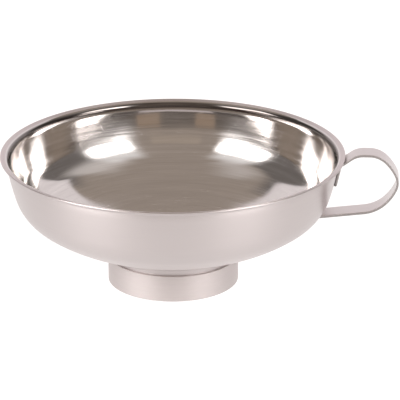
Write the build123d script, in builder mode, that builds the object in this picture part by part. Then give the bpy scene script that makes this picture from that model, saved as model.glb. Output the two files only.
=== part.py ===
from build123d import *
import os
from math import cos, radians, sin

# Wide-mouth canning funnel in stainless sheet: a pressed bowl with a turned-out rim, a straight
# spout collar pressed over the bowl's neck, and a flat strap bent into a finger loop.
# The frame stands on the axis of the spout at its lower edge: +Z up, +X towards the handle.

# Driving dimensions, millimetres and degrees
sheet = 0.8                  # thickness of the pressed sheet
rim_radius = 70.0            # outside edge of the rim
spout_radius = 26.8          # outside of the collar, a free fit in a regular jar mouth
collar_height = 10.9
neck_overlap = 4.9           # length of the bowl's neck inside the collar

cone_angle = 19.5            # slope of the bowl's floor
knuckle_angle = 36.0         # slope where the floor turns into the wall
wall_angle = 73.0            # slope at the foot of the wall
flange_angle = 18.0          # upward slope of the turned-out rim
throat_radius = 5.4          # bends, measured at the middle of the sheet
floor_radius = 61.6
side_radius = 18.6
wall_radius = 109.6
lip_radius = 12.0
rim_bend_radius = 1.6
cone_length = 12.9
wall_turn = 6.2              # how much steeper the wall is at its top
lip_turn = 12.5              # brings the last of the wall upright, under the rim
rim_edge_round = 0.3

strap_width = 9.5
strap_thickness = 1.0
strap_edge_round = 0.25
strap_end_round = 4.3
weld_mark_radius = 1.7
weld_mark_depth = 0.15
tab_place = 0.755            # where the tab touches, as a share of the wall's height
tab_length = 9.1
tab_rise = 4.45              # from the touching point up to the bend
riser_angle = 36.0           # the strap climbs past the rim at this slope
riser_length = 4.4
top_length = 2.4
shoulder_turn = 44.0         # the loop's bends, at the middle of the strap
flank_turn = 20.0
nose_turn = 50.0
heel_turn = 39.2
tab_bend_radius = 2.2
crest_radius = 8.6
shoulder_radius = 9.5
flank_radius = 20.0
nose_radius = 7.0
heel_radius = 15.0
foot_slope = 45.0            # slope of the bowl where the foot begins
foot_turn = 4.5              # how far the foot follows the arc of the floor

half_sheet = sheet / 2
half_strap = strap_thickness / 2
collar_bore = spout_radius - sheet
neck_radius = collar_bore - half_sheet
rim_corner = half_sheet - rim_edge_round
rim_inset = rim_edge_round * (1 - cos(radians(flange_angle))) + rim_corner * sin(radians(flange_angle))
flange_end = rim_radius - rim_inset


def outward(angle, distance):
    """Step away from a surface of the given slope, out of the bowl."""
    return Vector(sin(radians(angle)), -cos(radians(angle))) * distance


# Bowl: one sheet, drawn as the line through the middle of its thickness
with BuildPart() as bowl:
    with BuildSketch(Plane.XZ) as bowl_section:
        with BuildLine():
            neck = Line((neck_radius, collar_height - neck_overlap), (neck_radius, collar_height))
            throat = JernArc(neck @ 1, neck % 1, throat_radius, cone_angle - 90)
            cone = PolarLine(throat @ 1, cone_length, cone_angle)
            lower_floor = JernArc(cone @ 1, cone % 1, floor_radius, knuckle_angle - cone_angle)
            side = JernArc(lower_floor @ 1, lower_floor % 1, side_radius, wall_angle - knuckle_angle)
            wall = JernArc(side @ 1, side % 1, wall_radius, wall_turn)
            lip = JernArc(wall @ 1, wall % 1, lip_radius, lip_turn)
            rim_turn = flange_angle - wall_angle - wall_turn - lip_turn
            rim_bend = JernArc(lip @ 1, lip % 1, rim_bend_radius, rim_turn)
            flange_run = (flange_end - (rim_bend @ 1).X) / cos(radians(flange_angle))
            flange = PolarLine(rim_bend @ 1, flange_run, flange_angle)
        trace(line_width=sheet)
        fillet(bowl_section.vertices().sort_by(Axis.X)[-2:], rim_edge_round)
    revolve(axis=Axis.Z)

# Spout collar: a straight ring over the neck, flush against the bend of the throat
with BuildPart() as spout_collar:
    with BuildSketch():
        Circle(spout_radius)
        Circle(collar_bore, mode=Mode.SUBTRACT)
    extrude(amount=collar_height)

# Handle strap: a tab on the wall under the rim, the finger loop, and a foot under the bowl
tab_slope = wall_angle + tab_place * wall_turn
skin_to_strap = half_sheet + half_strap
touch = wall @ tab_place + outward(tab_slope, skin_to_strap)
tab_top = touch + Vector(cos(radians(tab_slope)), sin(radians(tab_slope))) * tab_rise
foot_place = (foot_slope - knuckle_angle) / (wall_angle - knuckle_angle)
foot_start = side @ foot_place + outward(foot_slope, skin_to_strap)
foot_heading = Vector(-cos(radians(foot_slope)), -sin(radians(foot_slope)))

with BuildPart() as handle_strap:
    with BuildSketch(Plane.XZ):
        with BuildLine():
            tab = PolarLine(tab_top, tab_length, tab_slope - 180)
            tab_bend = JernArc(tab @ 0, (tab % 0) * -1, tab_bend_radius, riser_angle - tab_slope)
            riser = PolarLine(tab_bend @ 1, riser_length, riser_angle)
            crest = JernArc(riser @ 1, riser % 1, crest_radius, -riser_angle)
            top_run = PolarLine(crest @ 1, top_length, 0)
            shoulder = JernArc(top_run @ 1, top_run % 1, shoulder_radius, -shoulder_turn)
            upper_flank = JernArc(shoulder @ 1, shoulder % 1, flank_radius, -flank_turn)
            nose = JernArc(upper_flank @ 1, upper_flank % 1, nose_radius, -nose_turn)
            lower_flank = JernArc(nose @ 1, nose % 1, flank_radius, -flank_turn)
            heel = JernArc(lower_flank @ 1, lower_flank % 1, heel_radius, -heel_turn)
            lower_run = Line(heel @ 1, foot_start)
            foot_bend = side_radius + skin_to_strap
            foot = JernArc(foot_start, foot_heading, foot_bend, knuckle_angle - foot_slope)
            toe = JernArc(foot @ 1, foot % 1, floor_radius + skin_to_strap, -foot_turn)
        trace(line_width=strap_thickness)
    extrude(amount=strap_width / 2, both=True)
    end_corners = handle_strap.edges().filter_by(lambda edge: abs(edge.length - strap_thickness) < 0.01)
    fillet(end_corners, strap_end_round)
    side_outlines = handle_strap.faces().filter_by(Plane.XZ).edges()
    fillet(side_outlines, strap_edge_round)
    # shallow dishes left by the spot welder in the tab and in the foot
    for spot, slope in ((touch, tab_slope), (foot @ 1, knuckle_angle)):
        ball = weld_mark_radius ** 2 / (2 * weld_mark_depth) + weld_mark_depth / 2
        centre = spot + outward(slope, half_strap + ball - weld_mark_depth)
        with Locations(Plane.XZ.from_local_coords(centre)):
            Sphere(ball, mode=Mode.SUBTRACT)

os.makedirs("parts", exist_ok=True)
for piece, name in ((bowl, "bowl"), (spout_collar, "spout_collar"), (handle_strap, "handle_strap")):
    piece.part.label = name
    export_step(piece.part, f"parts/{name}.step")
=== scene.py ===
import math

import bmesh
import bpy
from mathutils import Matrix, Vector


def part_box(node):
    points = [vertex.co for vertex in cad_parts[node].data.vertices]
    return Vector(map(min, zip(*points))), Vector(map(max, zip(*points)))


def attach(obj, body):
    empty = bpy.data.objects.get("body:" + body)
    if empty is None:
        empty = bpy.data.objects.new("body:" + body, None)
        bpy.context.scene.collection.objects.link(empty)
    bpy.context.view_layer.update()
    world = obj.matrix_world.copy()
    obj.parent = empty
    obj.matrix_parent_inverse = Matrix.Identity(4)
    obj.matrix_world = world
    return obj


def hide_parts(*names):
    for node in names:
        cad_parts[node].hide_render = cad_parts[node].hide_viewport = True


# A stainless canning funnel: satin outside, mirror polished inside, on a white light table.
# Every length is in metres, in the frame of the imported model: +Z up the spout's axis, +X towards
# the handle. Angles are in degrees.

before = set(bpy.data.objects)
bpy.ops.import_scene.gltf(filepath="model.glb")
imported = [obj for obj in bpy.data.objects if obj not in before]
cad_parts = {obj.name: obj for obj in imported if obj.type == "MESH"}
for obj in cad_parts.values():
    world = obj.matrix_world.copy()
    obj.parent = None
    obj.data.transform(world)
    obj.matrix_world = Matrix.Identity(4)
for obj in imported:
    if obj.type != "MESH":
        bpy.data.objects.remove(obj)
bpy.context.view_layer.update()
scene = bpy.context.scene
scene.view_settings.view_transform = "Standard"
MM = 0.001

# ---------------------------------------------------------------- sizes of the pressed sheet
SHEET = 0.8 * MM
HALF_SHEET = SHEET / 2

neck_low, rim_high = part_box("bowl")
collar_low, collar_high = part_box("spout_collar")
RIM_RADIUS = rim_high.x
COLLAR_RADIUS = collar_high.x
COLLAR_TOP = collar_high.z
COLLAR_BORE = COLLAR_RADIUS - SHEET
NECK_RADIUS = COLLAR_BORE - HALF_SHEET

CONE_ANGLE = 19.5            # slopes of the floor, the knuckle, the foot of the wall and the rim
KNUCKLE_ANGLE = 36.0
WALL_ANGLE = 73.0
FLANGE_ANGLE = 18.0
WALL_TURN = 6.2              # how much the wall and the lip over it steepen
LIP_TURN = 12.5
THROAT_RADIUS = 5.4 * MM     # bends, measured at the middle of the sheet
FLOOR_RADIUS = 61.6 * MM
SIDE_RADIUS = 18.6 * MM
WALL_RADIUS = 109.6 * MM
LIP_RADIUS = 12.0 * MM
RIM_BEND_RADIUS = 1.6 * MM
CONE_LENGTH = 12.9 * MM
RIM_EDGE_ROUND = 0.3 * MM

SEGMENTS = 240               # flats round a turned piece


# ---------------------------------------------------------------- mesh helpers
def along(angle):
    """A unit step in the (radius, height) plane at an angle in radians."""
    return Vector((math.cos(angle), math.sin(angle)))


def leftward(angle):
    """A unit step to the left of that one."""
    return Vector((-math.sin(angle), math.cos(angle)))


class SheetLine:
    """Walks along the middle of a bent sheet in straight runs and tangent arcs, noting its stations.

    A station is a place, as (radius, height), and the heading there, in radians.
    """

    def __init__(self, radius, height, heading):
        self.place = Vector((radius, height))
        self.heading = math.radians(heading)
        self.stations = []
        self.note()

    def note(self):
        self.stations.append((self.place.copy(), self.heading))

    def run(self, length, steps):
        step = along(self.heading) * length / steps
        for _ in range(steps):
            self.place += step
            self.note()

    def bend(self, radius, turn, steps):
        to_centre = radius * math.copysign(1, turn)
        centre = self.place + leftward(self.heading) * to_centre
        for _ in range(steps):
            self.heading += math.radians(turn) / steps
            self.place = centre - leftward(self.heading) * to_centre
            self.note()


def offset(station, distance):
    """The point that far to the left of the line at a station."""
    place, heading = station
    return place + leftward(heading) * distance


def round_end(station, radius, steps):
    """Points round the end of a sheet, from its right face to its left."""
    place, heading = station
    centre = place - along(heading) * radius
    points = []
    for i in range(1, steps):
        angle = heading + math.pi * (i / steps - 1 / 2)
        points.append(centre + along(angle) * radius)
    return points


def show(name, bm, materials):
    """Puts a finished bmesh into the scene as a named piece."""
    bmesh.ops.recalc_face_normals(bm, faces=bm.faces)
    mesh = bpy.data.meshes.new(name)
    bm.to_mesh(mesh)
    bm.free()
    for material in materials:
        mesh.materials.append(material)
    piece = bpy.data.objects.new(name, mesh)
    scene.collection.objects.link(piece)
    return piece


def lathe(name, outline, materials, finishes):
    """Turns a closed outline of (radius, height) round Z. finishes holds the material index of each span."""
    bm = bmesh.new()
    rings = []
    for radius, height in outline:
        ring = []
        for i in range(SEGMENTS):
            angle = 2 * math.pi * i / SEGMENTS
            ring.append(bm.verts.new((radius * math.cos(angle), radius * math.sin(angle), height)))
        rings.append(ring)
    for j, ring in enumerate(rings):
        above = rings[(j + 1) % len(rings)]
        for i in range(SEGMENTS):
            k = (i + 1) % SEGMENTS
            face = bm.faces.new((ring[i], ring[k], above[k], above[i]))
            face.material_index = finishes[j]
            face.smooth = True
    return show(name, bm, materials)


# ---------------------------------------------------------------- node helpers
class Nodes:
    """A node tree, with short ways to add nodes and join them."""

    def __init__(self, tree):
        self.tree = tree

    def add(self, kind, **settings):
        node = self.tree.nodes.new(kind)
        for key, value in settings.items():
            setattr(node, key, value)
        return node

    def join(self, source, target):
        """Feeds a socket from another socket, a number or a colour."""
        if isinstance(source, tuple):
            target.default_value = (*source, 1)
        elif isinstance(source, (int, float)):
            target.default_value = source
        else:
            self.tree.links.new(source, target)

    def maths(self, operation, first, second=0.0):
        node = self.add("ShaderNodeMath", operation=operation)
        self.join(first, node.inputs[0])
        self.join(second, node.inputs[1])
        return node.outputs[0]

    def split(self, vector):
        node = self.add("ShaderNodeSeparateXYZ")
        self.join(vector, node.inputs[0])
        return node.outputs

    def mix(self, amount, low, high, blend="MIX"):
        node = self.add("ShaderNodeMix", data_type="RGBA", blend_type=blend)
        self.join(amount, node.inputs["Factor"])
        self.join(low, node.inputs["A"])
        self.join(high, node.inputs["B"])
        return node.outputs["Result"]


class Metal(Nodes):
    """The node tree of a new bare metal."""

    def __init__(self, name):
        self.material = bpy.data.materials.new(name)
        self.material.use_nodes = True
        super().__init__(self.material.node_tree)
        self.shader = self.tree.nodes["Principled BSDF"]
        self.shader.inputs["Metallic"].default_value = 1.0

    def give(self, **sources):
        """Feeds the shader's sockets, each named with _ for its spaces."""
        for key, source in sources.items():
            self.join(source, self.shader.inputs[key.replace("_", " ")])

    def place(self):
        return self.add("ShaderNodeTexCoord").outputs["Object"]

    def spread(self, value, low, high, out_low, out_high):
        node = self.add("ShaderNodeMapRange")
        self.join(value, node.inputs["Value"])
        self.join(low, node.inputs["From Min"])
        self.join(high, node.inputs["From Max"])
        self.join(out_low, node.inputs["To Min"])
        self.join(out_high, node.inputs["To Max"])
        return node.outputs["Result"]

    def stretch(self, vector, scale, turn=(0.0, 0.0, 0.0)):
        node = self.add("ShaderNodeMapping")
        self.join(vector, node.inputs["Vector"])
        node.inputs["Rotation"].default_value = turn
        node.inputs["Scale"].default_value = scale
        return node.outputs[0]

    def noise(self, vector, scale, detail, rough=0.5):
        node = self.add("ShaderNodeTexNoise")
        self.join(vector, node.inputs["Vector"])
        self.join(scale, node.inputs["Scale"])
        self.join(detail, node.inputs["Detail"])
        self.join(rough, node.inputs["Roughness"])
        return node.outputs["Fac"]

    def rings(self, around, outwards, detail, rough=0.5):
        """Noise that changes slowly round Z and fast from one turned ring to the next."""
        x, y, z = self.split(self.place())
        squares = self.maths("ADD", self.maths("MULTIPLY", x, x), self.maths("MULTIPLY", y, y))
        radius = self.maths("SQRT", squares)
        joined = self.add("ShaderNodeCombineXYZ")
        self.join(self.maths("MULTIPLY", self.maths("DIVIDE", x, radius), around), joined.inputs[0])
        self.join(self.maths("MULTIPLY", self.maths("DIVIDE", y, radius), around), joined.inputs[1])
        self.join(self.maths("MULTIPLY", self.maths("ADD", radius, z), outwards), joined.inputs[2])
        return self.noise(joined.outputs[0], 1.0, detail, rough)

    def scratches(self, turn, scale, rarity):
        """Thin straight marks, 1 on a mark and 0 between, at one slant."""
        marks = self.noise(self.stretch(self.place(), scale, turn), 1.0, 1.0)
        return self.spread(marks, rarity, rarity + 0.04, 0.0, 1.0)

    def blend(self, first, second, share):
        """Two values added, the first by its share and the second by the rest."""
        rest = self.maths("MULTIPLY", second, 1 - share)
        return self.maths("ADD", self.maths("MULTIPLY", first, share), rest)

    def raised(self, value, base, rise):
        """A base with a share of another value added."""
        return self.maths("ADD", base, self.maths("MULTIPLY", value, rise))

    def bump(self, height, depth, under=None):
        node = self.add("ShaderNodeBump")
        self.join(height, node.inputs["Height"])
        self.join(depth, node.inputs["Distance"])
        if under is not None:
            self.join(under, node.inputs["Normal"])
        return node.outputs["Normal"]


# ---------------------------------------------------------------- finishes
def turned_satin(name, colour, smoothest, roughest, drawn_out):
    """Satin steel brushed round the axis: fine rings, and a highlight drawn out across them."""
    metal = Metal(name)
    grain = metal.blend(metal.rings(5.0, 5200.0, 3.0, 0.6), metal.rings(2.2, 900.0, 2.0), 0.6)
    metal.give(Base_Color=colour, Roughness=metal.spread(grain, 0.3, 0.7, smoothest, roughest))
    metal.give(Normal=metal.bump(grain, 0.014 * MM))
    tangent = metal.add("ShaderNodeTangent", direction_type="RADIAL", axis="Z")
    metal.give(Anisotropic=drawn_out, Anisotropic_Rotation=0.25, Tangent=tangent.outputs[0])
    return metal.material


FLOOR_EDGE = (20.0 * MM, 23.5 * MM)       # heights where the floor's haze gives way to the bright wall
PAINTED_SHADE_FOOT = (51.4 * MM, 51.9 * MM)     # the painted shade under the rim starts here
PAINTED_SHADE_TOP = (53.7 * MM, 54.1 * MM)      # and stops here, in the bend of the rim
# painted shade: the dark colour painted into the polish in the bend under the rim
PAINTED_SHADE = (0.07, 0.056, 0.05)


def mirror_polish(name):
    """Polished steel: waves of the pressing, turning marks, haze on the floor, a few fine scratches and a
    painted shade band in the bend under the rim.
    """
    metal = Metal(name)
    waves = metal.noise(metal.place(), 60.0, 1.5)
    rings = metal.rings(3.0, 2600.0, 3.0, 0.6)
    broad = metal.rings(1.6, 420.0, 2.0)
    grain = metal.blend(rings, broad, 0.5)
    slants = (
        metal.scratches((0.3, 0.0, 0.5), (120.0, 4200.0, 120.0), 0.735),
        metal.scratches((0.2, 0.1, -0.9), (140.0, 4000.0, 140.0), 0.742),
    )
    scratches = metal.maths("MAXIMUM", *slants)
    height = metal.split(metal.place())[2]

    normal = metal.bump(waves, 0.10 * MM)
    normal = metal.bump(broad, 0.022 * MM, under=normal)
    normal = metal.bump(rings, 0.006 * MM, under=normal)
    metal.give(Normal=normal)

    floor = metal.spread(height, FLOOR_EDGE[1], FLOOR_EDGE[0], 0.0, 1.0)
    hazy = metal.raised(floor, metal.spread(grain, 0.35, 0.65, 0.05, 0.15), 0.07)
    metal.give(Roughness=metal.raised(scratches, hazy, 0.12))

    tone = metal.raised(scratches, metal.spread(grain, 0.3, 0.7, 0.0, 0.75), 0.35)
    clean = metal.mix(tone, (0.60, 0.573, 0.556), (0.75, 0.722, 0.706))
    # painted shade: a dark band in the bend under the rim, mixed into the base colour
    over_foot = metal.spread(height, *PAINTED_SHADE_FOOT, 0.0, 1.0)
    under_top = metal.spread(height, *PAINTED_SHADE_TOP, 1.0, 0.0)
    under_rim = metal.maths("MULTIPLY", over_foot, under_top)
    painted_shade = metal.maths("MULTIPLY", under_rim, metal.spread(broad, 0.3, 0.6, 0.7, 0.95))
    metal.give(Base_Color=metal.mix(painted_shade, clean, PAINTED_SHADE))
    return metal.material


def strap_satin(name):
    """Satin steel brushed along the strap, which its UV map follows in metres."""
    metal = Metal(name)
    lengthwise = metal.add("ShaderNodeTexCoord").outputs["UV"]
    grain = metal.noise(metal.stretch(lengthwise, (90.0, 3600.0, 1.0)), 1.0, 3.0, 0.65)
    metal.give(Base_Color=metal.mix(grain, (0.58, 0.543, 0.536), (0.70, 0.66, 0.653)))
    metal.give(Roughness=metal.spread(grain, 0.3, 0.7, 0.32, 0.46), Normal=metal.bump(grain, 0.016 * MM))
    tangent = metal.add("ShaderNodeTangent", direction_type="UV_MAP", uv_map="along_the_strap")
    metal.give(Anisotropic=0.6, Tangent=tangent.outputs[0])
    return metal.material


def sheared_edge(name):
    """The strap's cut edges: duller and darker, torn in fine lines across the thickness."""
    metal = Metal(name)
    torn = metal.noise(metal.place(), 2200.0, 2.0)
    metal.give(Base_Color=metal.mix(torn, (0.28, 0.255, 0.25), (0.42, 0.39, 0.38)))
    metal.give(Roughness=0.5, Normal=metal.bump(torn, 0.02 * MM))
    return metal.material


SATIN = turned_satin("satin_outside", (0.58, 0.527, 0.52), 0.34, 0.44, 0.75)
RING = turned_satin("satin_ring", (0.615, 0.563, 0.553), 0.58, 0.68, 0.4)
MIRROR = mirror_polish("mirror_inside")
STRAP = strap_satin("satin_strap")
SHEARED = sheared_edge("sheared_edge")


# ---------------------------------------------------------------- bowl
def bowl_sheet():
    """The pressed sheet, satin on its right side and mirror polished on its left as far as the rim."""
    line = SheetLine(NECK_RADIUS, neck_low.z, 90)
    line.run(COLLAR_TOP - neck_low.z, 5)
    line.bend(THROAT_RADIUS, CONE_ANGLE - 90, 20)
    line.run(CONE_LENGTH, 12)
    line.bend(FLOOR_RADIUS, KNUCKLE_ANGLE - CONE_ANGLE, 20)
    line.bend(SIDE_RADIUS, WALL_ANGLE - KNUCKLE_ANGLE, 26)
    line.bend(WALL_RADIUS, WALL_TURN, 14)
    line.bend(LIP_RADIUS, LIP_TURN, 6)
    line.bend(RIM_BEND_RADIUS, FLANGE_ANGLE - WALL_ANGLE - WALL_TURN - LIP_TURN, 14)
    polish_ends = len(line.stations)
    flange = along(math.radians(FLANGE_ANGLE))
    rim_inset = (HALF_SHEET - RIM_EDGE_ROUND) * flange.y + RIM_EDGE_ROUND * (1 - flange.x)
    line.run((RIM_RADIUS - rim_inset - line.place.x) / flange.x, 5)

    sheet = line.stations[:-1]
    outside = [offset(station, -HALF_SHEET) for station in sheet]
    inside = [offset(station, HALF_SHEET) for station in reversed(sheet)]
    outline = outside + round_end(line.stations[-1], HALF_SHEET, 10) + inside
    satin = len(outline) - polish_ends
    finishes = [0] * satin + [1] * polish_ends
    return lathe("bowl_sheet", outline, (SATIN, MIRROR), finishes)


bowl = bowl_sheet()
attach(bowl, "root")
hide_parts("bowl")


# ---------------------------------------------------------------- spout collar
def collar_ring():
    """A plain ring with its corners broken, each rounded through a quarter turn from its start angle."""
    corners = (
        (COLLAR_BORE, collar_low.z, 180, 0.25 * MM),
        (COLLAR_RADIUS, collar_low.z, 270, 0.28 * MM),
        (COLLAR_RADIUS, COLLAR_TOP, 0, 0.28 * MM),
        (COLLAR_BORE, COLLAR_TOP, 90, 0.04 * MM),
    )
    steps = 8
    outline = []
    for radius, height, start, edge in corners:
        inwards = 1 if radius == COLLAR_BORE else -1
        upwards = 1 if height == collar_low.z else -1
        centre = Vector((radius + inwards * edge, height + upwards * edge))
        for i in range(steps + 1):
            outline.append(centre + along(math.radians(start + 90 * i / steps)) * edge)
    return lathe("collar_ring", outline, (RING,), [0] * len(outline))


collar = collar_ring()
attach(collar, "root")
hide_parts("spout_collar")

# ---------------------------------------------------------------- handle strap
STRAP_WIDTH = 9.5 * MM
HALF_STRAP = 0.5 * MM
SKIN_TO_STRAP = HALF_SHEET + HALF_STRAP
EDGE_ROUND = 0.25 * MM
END_ROUND = 4.3 * MM
WELD_RADIUS = 1.7 * MM
WELD_DEPTH = 0.15 * MM

TAB_PLACE = 0.755            # where the tab touches, as a share of the wall's height
TAB_LENGTH = 9.1 * MM
TAB_RISE = 4.45 * MM         # from the touching point up to the bend
RISER_ANGLE = 36.0           # the strap climbs past the rim at this slope
RISER_LENGTH = 4.4 * MM
TOP_LENGTH = 2.4 * MM
TAB_BEND_RADIUS = 2.2 * MM   # the loop's bends, at the middle of the strap
CREST_RADIUS = 8.6 * MM
SHOULDER_RADIUS = 9.5 * MM
FLANK_RADIUS = 20.0 * MM
NOSE_RADIUS = 7.0 * MM
HEEL_RADIUS = 15.0 * MM
SHOULDER_TURN = 44.0
FLANK_TURN = 20.0
NOSE_TURN = 50.0
HEEL_TURN = 39.2
FOOT_SLOPE = 45.0            # slope of the bowl where the foot begins
FOOT_TURN = 4.5              # how far the foot follows the arc of the floor

FACE_SPANS = 26              # spans across each broad face of the strap
CORNER_SPANS = 4             # spans round each rounded corner


def bowl_station(side_turn, wall_turn):
    """The middle of the bowl's sheet after those turns of the side and of the wall above it."""
    line = SheetLine(NECK_RADIUS, COLLAR_TOP, 90)
    line.bend(THROAT_RADIUS, CONE_ANGLE - 90, 1)
    line.run(CONE_LENGTH, 1)
    line.bend(FLOOR_RADIUS, KNUCKLE_ANGLE - CONE_ANGLE, 1)
    line.bend(SIDE_RADIUS, side_turn, 1)
    line.bend(WALL_RADIUS, wall_turn, 1)
    return line.stations[-1]


def strap_line():
    """The middle of the strap from the tab's lower end, up past the rim and round the loop to the foot.

    Also gives each weld's place and the side of the strap that its dish is in: 1 left, -1 right.
    """
    tab_station = bowl_station(WALL_ANGLE - KNUCKLE_ANGLE, TAB_PLACE * WALL_TURN)
    foot_station = bowl_station(FOOT_SLOPE - KNUCKLE_ANGLE, 0)
    touch = offset(tab_station, -SKIN_TO_STRAP)
    foot_start = offset(foot_station, -SKIN_TO_STRAP)
    tab_end = touch - along(tab_station[1]) * (TAB_LENGTH - TAB_RISE)
    tab_slope = math.degrees(tab_station[1])

    line = SheetLine(tab_end.x, tab_end.y, tab_slope)
    line.run(TAB_LENGTH, 24)
    line.bend(TAB_BEND_RADIUS, RISER_ANGLE - tab_slope, 10)
    line.run(RISER_LENGTH, 8)
    line.bend(CREST_RADIUS, -RISER_ANGLE, 14)
    line.run(TOP_LENGTH, 5)
    line.bend(SHOULDER_RADIUS, -SHOULDER_TURN, 16)
    line.bend(FLANK_RADIUS, -FLANK_TURN, 14)
    line.bend(NOSE_RADIUS, -NOSE_TURN, 16)
    line.bend(FLANK_RADIUS, -FLANK_TURN, 14)
    line.bend(HEEL_RADIUS, -HEEL_TURN, 22)
    lower_run = foot_start - line.place
    line.heading = math.atan2(lower_run.y, lower_run.x)
    line.run(lower_run.length, 34)
    line.heading = math.radians(FOOT_SLOPE - 180)
    line.bend(SIDE_RADIUS + SKIN_TO_STRAP, KNUCKLE_ANGLE - FOOT_SLOPE, 12)
    foot_weld = line.place.copy()
    line.bend(FLOOR_RADIUS + SKIN_TO_STRAP, -FOOT_TURN, 16)
    return line.stations, ((touch, -1), (foot_weld, 1))


def half_width(from_end):
    """Half the strap's width that far from its nearer end, where its corners are rounded off."""
    short_of_round = END_ROUND - min(from_end, END_ROUND)
    rounded = math.sqrt(END_ROUND ** 2 - short_of_round ** 2)
    return STRAP_WIDTH / 2 - END_ROUND + max(rounded, 0.05 * MM)


def strap_section(flat):
    """Points round the strap as (across, out): each broad face from edge to edge, then its rounded edge."""
    corner = HALF_STRAP - EDGE_ROUND
    quarter = 90 / CORNER_SPANS
    section = []
    for side in (1, -1):
        for i in range(FACE_SPANS + 1):
            section.append((side * flat * (2 * i / FACE_SPANS - 1), side * HALF_STRAP))
        for middle, first_turn in ((corner, 90 - quarter), (-corner, 0)):
            for i in range(CORNER_SPANS):
                step = along(math.radians(first_turn - quarter * i)) * EDGE_ROUND
                section.append((side * (flat + step.x), side * (middle + step.y)))
    return section


def dished(place, across, out, welds):
    """How far out a point of the strap lies once the welds have pressed their shallow dishes."""
    for spot, side in welds:
        distance = math.hypot((place - spot).length, across)
        if out == side * HALF_STRAP and distance < WELD_RADIUS:
            out -= side * WELD_DEPTH * (1 - (distance / WELD_RADIUS) ** 2)
    return out


def strap_band():
    """The strap, swept along its line, with a UV map of its length and width."""
    stations, welds = strap_line()
    lengths = [0.0]
    for before, after in zip(stations, stations[1:]):
        lengths.append(lengths[-1] + (after[0] - before[0]).length)

    bm = bmesh.new()
    uv = bm.loops.layers.uv.new("along_the_strap")
    rings = []
    for (place, heading), length in zip(stations, lengths):
        ring = []
        for across, out in strap_section(half_width(min(length, lengths[-1] - length)) - EDGE_ROUND):
            point = place + leftward(heading) * dished(place, across, out, welds)
            ring.append((bm.verts.new((point.x, across, point.y)), length, across))
        rings.append(ring)

    def close(corners, sheared):
        face = bm.faces.new([vert for vert, length, across in corners])
        face.smooth = True
        face.material_index = int(sheared)
        for loop, (vert, length, across) in zip(face.loops, corners):
            loop[uv].uv = (length, across)

    count = len(rings[0])
    cut_spans = range(FACE_SPANS + CORNER_SPANS - 1, FACE_SPANS + CORNER_SPANS + 3)
    for ring, after in zip(rings, rings[1:]):
        for i in range(count):
            k = (i + 1) % count
            close((ring[i], ring[k], after[k], after[i]), i % (count // 2) in cut_spans)
    close(rings[0][::-1], True)
    close(rings[-1], True)
    return show("strap_band", bm, (STRAP, SHEARED))


strap = strap_band()
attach(strap, "root")
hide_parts("handle_strap")


# ---------------------------------------------------------------- stage: light table and studio
def light_table():
    """A large white sheet that glows a little, as a lit product table does."""
    bm = bmesh.new()
    bmesh.ops.create_grid(bm, x_segments=8, y_segments=8, size=6.0)
    acrylic = bpy.data.materials.new("white_acrylic")
    acrylic.use_nodes = True
    shader = acrylic.node_tree.nodes["Principled BSDF"].inputs
    shader["Base Color"].default_value = (0.08, 0.08, 0.08, 1)
    shader["Roughness"].default_value = 0.6
    shader["Emission Color"].default_value = (1.0, 0.985, 0.975, 1)
    shader["Emission Strength"].default_value = 1.0
    table = show("light_table", bm, (acrylic,))
    table.location.z = collar_low.z - 0.05 * MM


class Studio(Nodes):
    """The world, painted by direction: shapes of azimuth and elevation are laid one over another.

    Azimuth is 0 at the front and grows towards +X. Elevation is 0 at the horizon and grows upwards.
    """

    def __init__(self, ground):
        scene.world = bpy.data.worlds.new("studio")
        scene.world.use_nodes = True
        super().__init__(scene.world.node_tree)
        x, y, z = self.split(self.add("ShaderNodeTexCoord").outputs["Generated"])
        self.azimuth = self.maths("ARCTAN2", x, self.maths("MULTIPLY", y, -1.0))
        self.aside = self.maths("ABSOLUTE", self.azimuth)
        self.elevation = self.maths("ARCSINE", z)
        self.colour = ground

    def rise(self, value, low, high):
        """A soft step from 0 at one angle to 1 at the other."""
        node = self.add("ShaderNodeMapRange", interpolation_type="SMOOTHSTEP")
        self.join(value, node.inputs["Value"])
        self.join(math.radians(low), node.inputs["From Min"])
        self.join(math.radians(high), node.inputs["From Max"])
        return node.outputs["Result"]

    def field(self, value, low, high, soft):
        """1 between two angles and 0 past them, with soft edges."""
        over_low = self.rise(value, low - soft, low + soft)
        under_high = self.rise(value, high + soft, high - soft)
        return self.maths("MULTIPLY", over_low, under_high)

    def patch(self, azimuths, elevations, soft, colour, strength=1.0, mirrored=False):
        """Lays a soft rectangle of colour over what is already there, at one side or at both."""
        turn = self.aside if mirrored else self.azimuth
        sides = self.field(turn, *azimuths, soft)
        mask = self.maths("MULTIPLY", sides, self.field(self.elevation, *elevations, soft))
        self.colour = self.mix(self.maths("MULTIPLY", mask, strength), self.colour, colour)

    def below(self, high, low, colour):
        """Lays a colour over everything low, fading in from the high elevation to the low one."""
        self.colour = self.mix(self.rise(self.elevation, high, low), self.colour, colour)

    def softbox(self, azimuth, width, low, high, fade, colour):
        """Adds a soft box: full from low to high, and fading out above."""
        sides = self.field(self.azimuth, azimuth - width / 2, azimuth + width / 2, 6.0)
        over_low = self.rise(self.elevation, low - 5.0, low + 6.0)
        height = self.maths("MULTIPLY", over_low, self.rise(self.elevation, fade, high))
        self.colour = self.mix(self.maths("MULTIPLY", sides, height), self.colour, colour, "ADD")

    def hang(self):
        self.join(self.colour, self.tree.nodes["Background"].inputs["Color"])


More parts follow.
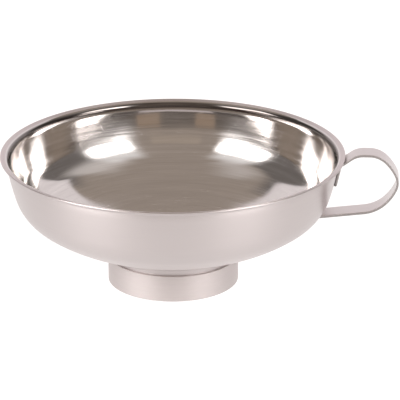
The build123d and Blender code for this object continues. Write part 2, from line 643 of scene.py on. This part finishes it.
def studio_world():
    """A grey-brown room, darker low down, with a white sheet behind, dark sides and two soft boxes."""
    softbox_light = (9.0, 8.775, 8.73)
    studio = Studio((0.41, 0.348, 0.302))
    studio.below(13.0, 6.0, (0.175, 0.150, 0.132))
    # two pale shapes low down in front, and a warmer stretch of wall over them
    studio.patch((14, 31), (3.2, 9.0), 1.2, (0.40, 0.30, 0.225))
    studio.patch((-25, -11), (3.2, 9.0), 1.2, (0.40, 0.30, 0.225))
    studio.patch((-16, 22), (12.5, 26.0), 1.5, (0.50, 0.42, 0.35), 0.8)
    # the dark sides of the room, hazed over higher up
    studio.patch((76, 140), (-10, 50), 5.0, (0.20, 0.18, 0.17), mirrored=True)
    studio.patch((62, 120), (38, 66), 9.0, (0.82, 0.77, 0.74), 0.8)
    studio.patch((-120, -58), (54, 70), 8.0, (0.75, 0.70, 0.67), 0.7)
    # the white sheet behind and its low ends, and a pale haze round each soft box
    studio.patch((95, 140), (-10, 7), 2.0, (0.95, 0.92, 0.91), mirrored=True)
    studio.patch((128, 190), (-10, 44.5), 1.0, (1.00, 0.93, 0.94), mirrored=True)
    studio.patch((36, 76), (10, 58), 8.0, (1.00, 0.97, 0.96), mirrored=True)
    studio.softbox(-53, 38, 14, 33, 45, softbox_light)
    studio.softbox(56, 31, 14, 31, 42, softbox_light)
    studio.hang()


light_table()
studio_world()


# ---------------------------------------------------------------- camera
def photo_camera(azimuth, elevation, distance, lens, aside, height):
    """Looks from an azimuth and elevation at the point that far aside of the axis and above the table."""
    a, e = math.radians(azimuth), math.radians(elevation)
    back = Vector((math.sin(a) * math.cos(e), -math.cos(a) * math.cos(e), math.sin(e)))
    right = Vector((math.cos(a), math.sin(a), 0))
    camera = bpy.data.cameras.new("camera")
    camera.lens = lens
    camera.sensor_width = 36.0
    camera.clip_start = 0.05
    camera.clip_end = 50.0
    thing = bpy.data.objects.new("camera", camera)
    thing.location = right * aside + Vector((0, 0, height)) + back * distance
    thing.rotation_mode = "QUATERNION"
    thing.rotation_quaternion = back.to_track_quat("Z", "Y")
    scene.collection.objects.link(thing)
    scene.camera = thing


photo_camera(4.5, 20.5, 0.95, 209.05, 11.03 * MM, 33.81 * MM)
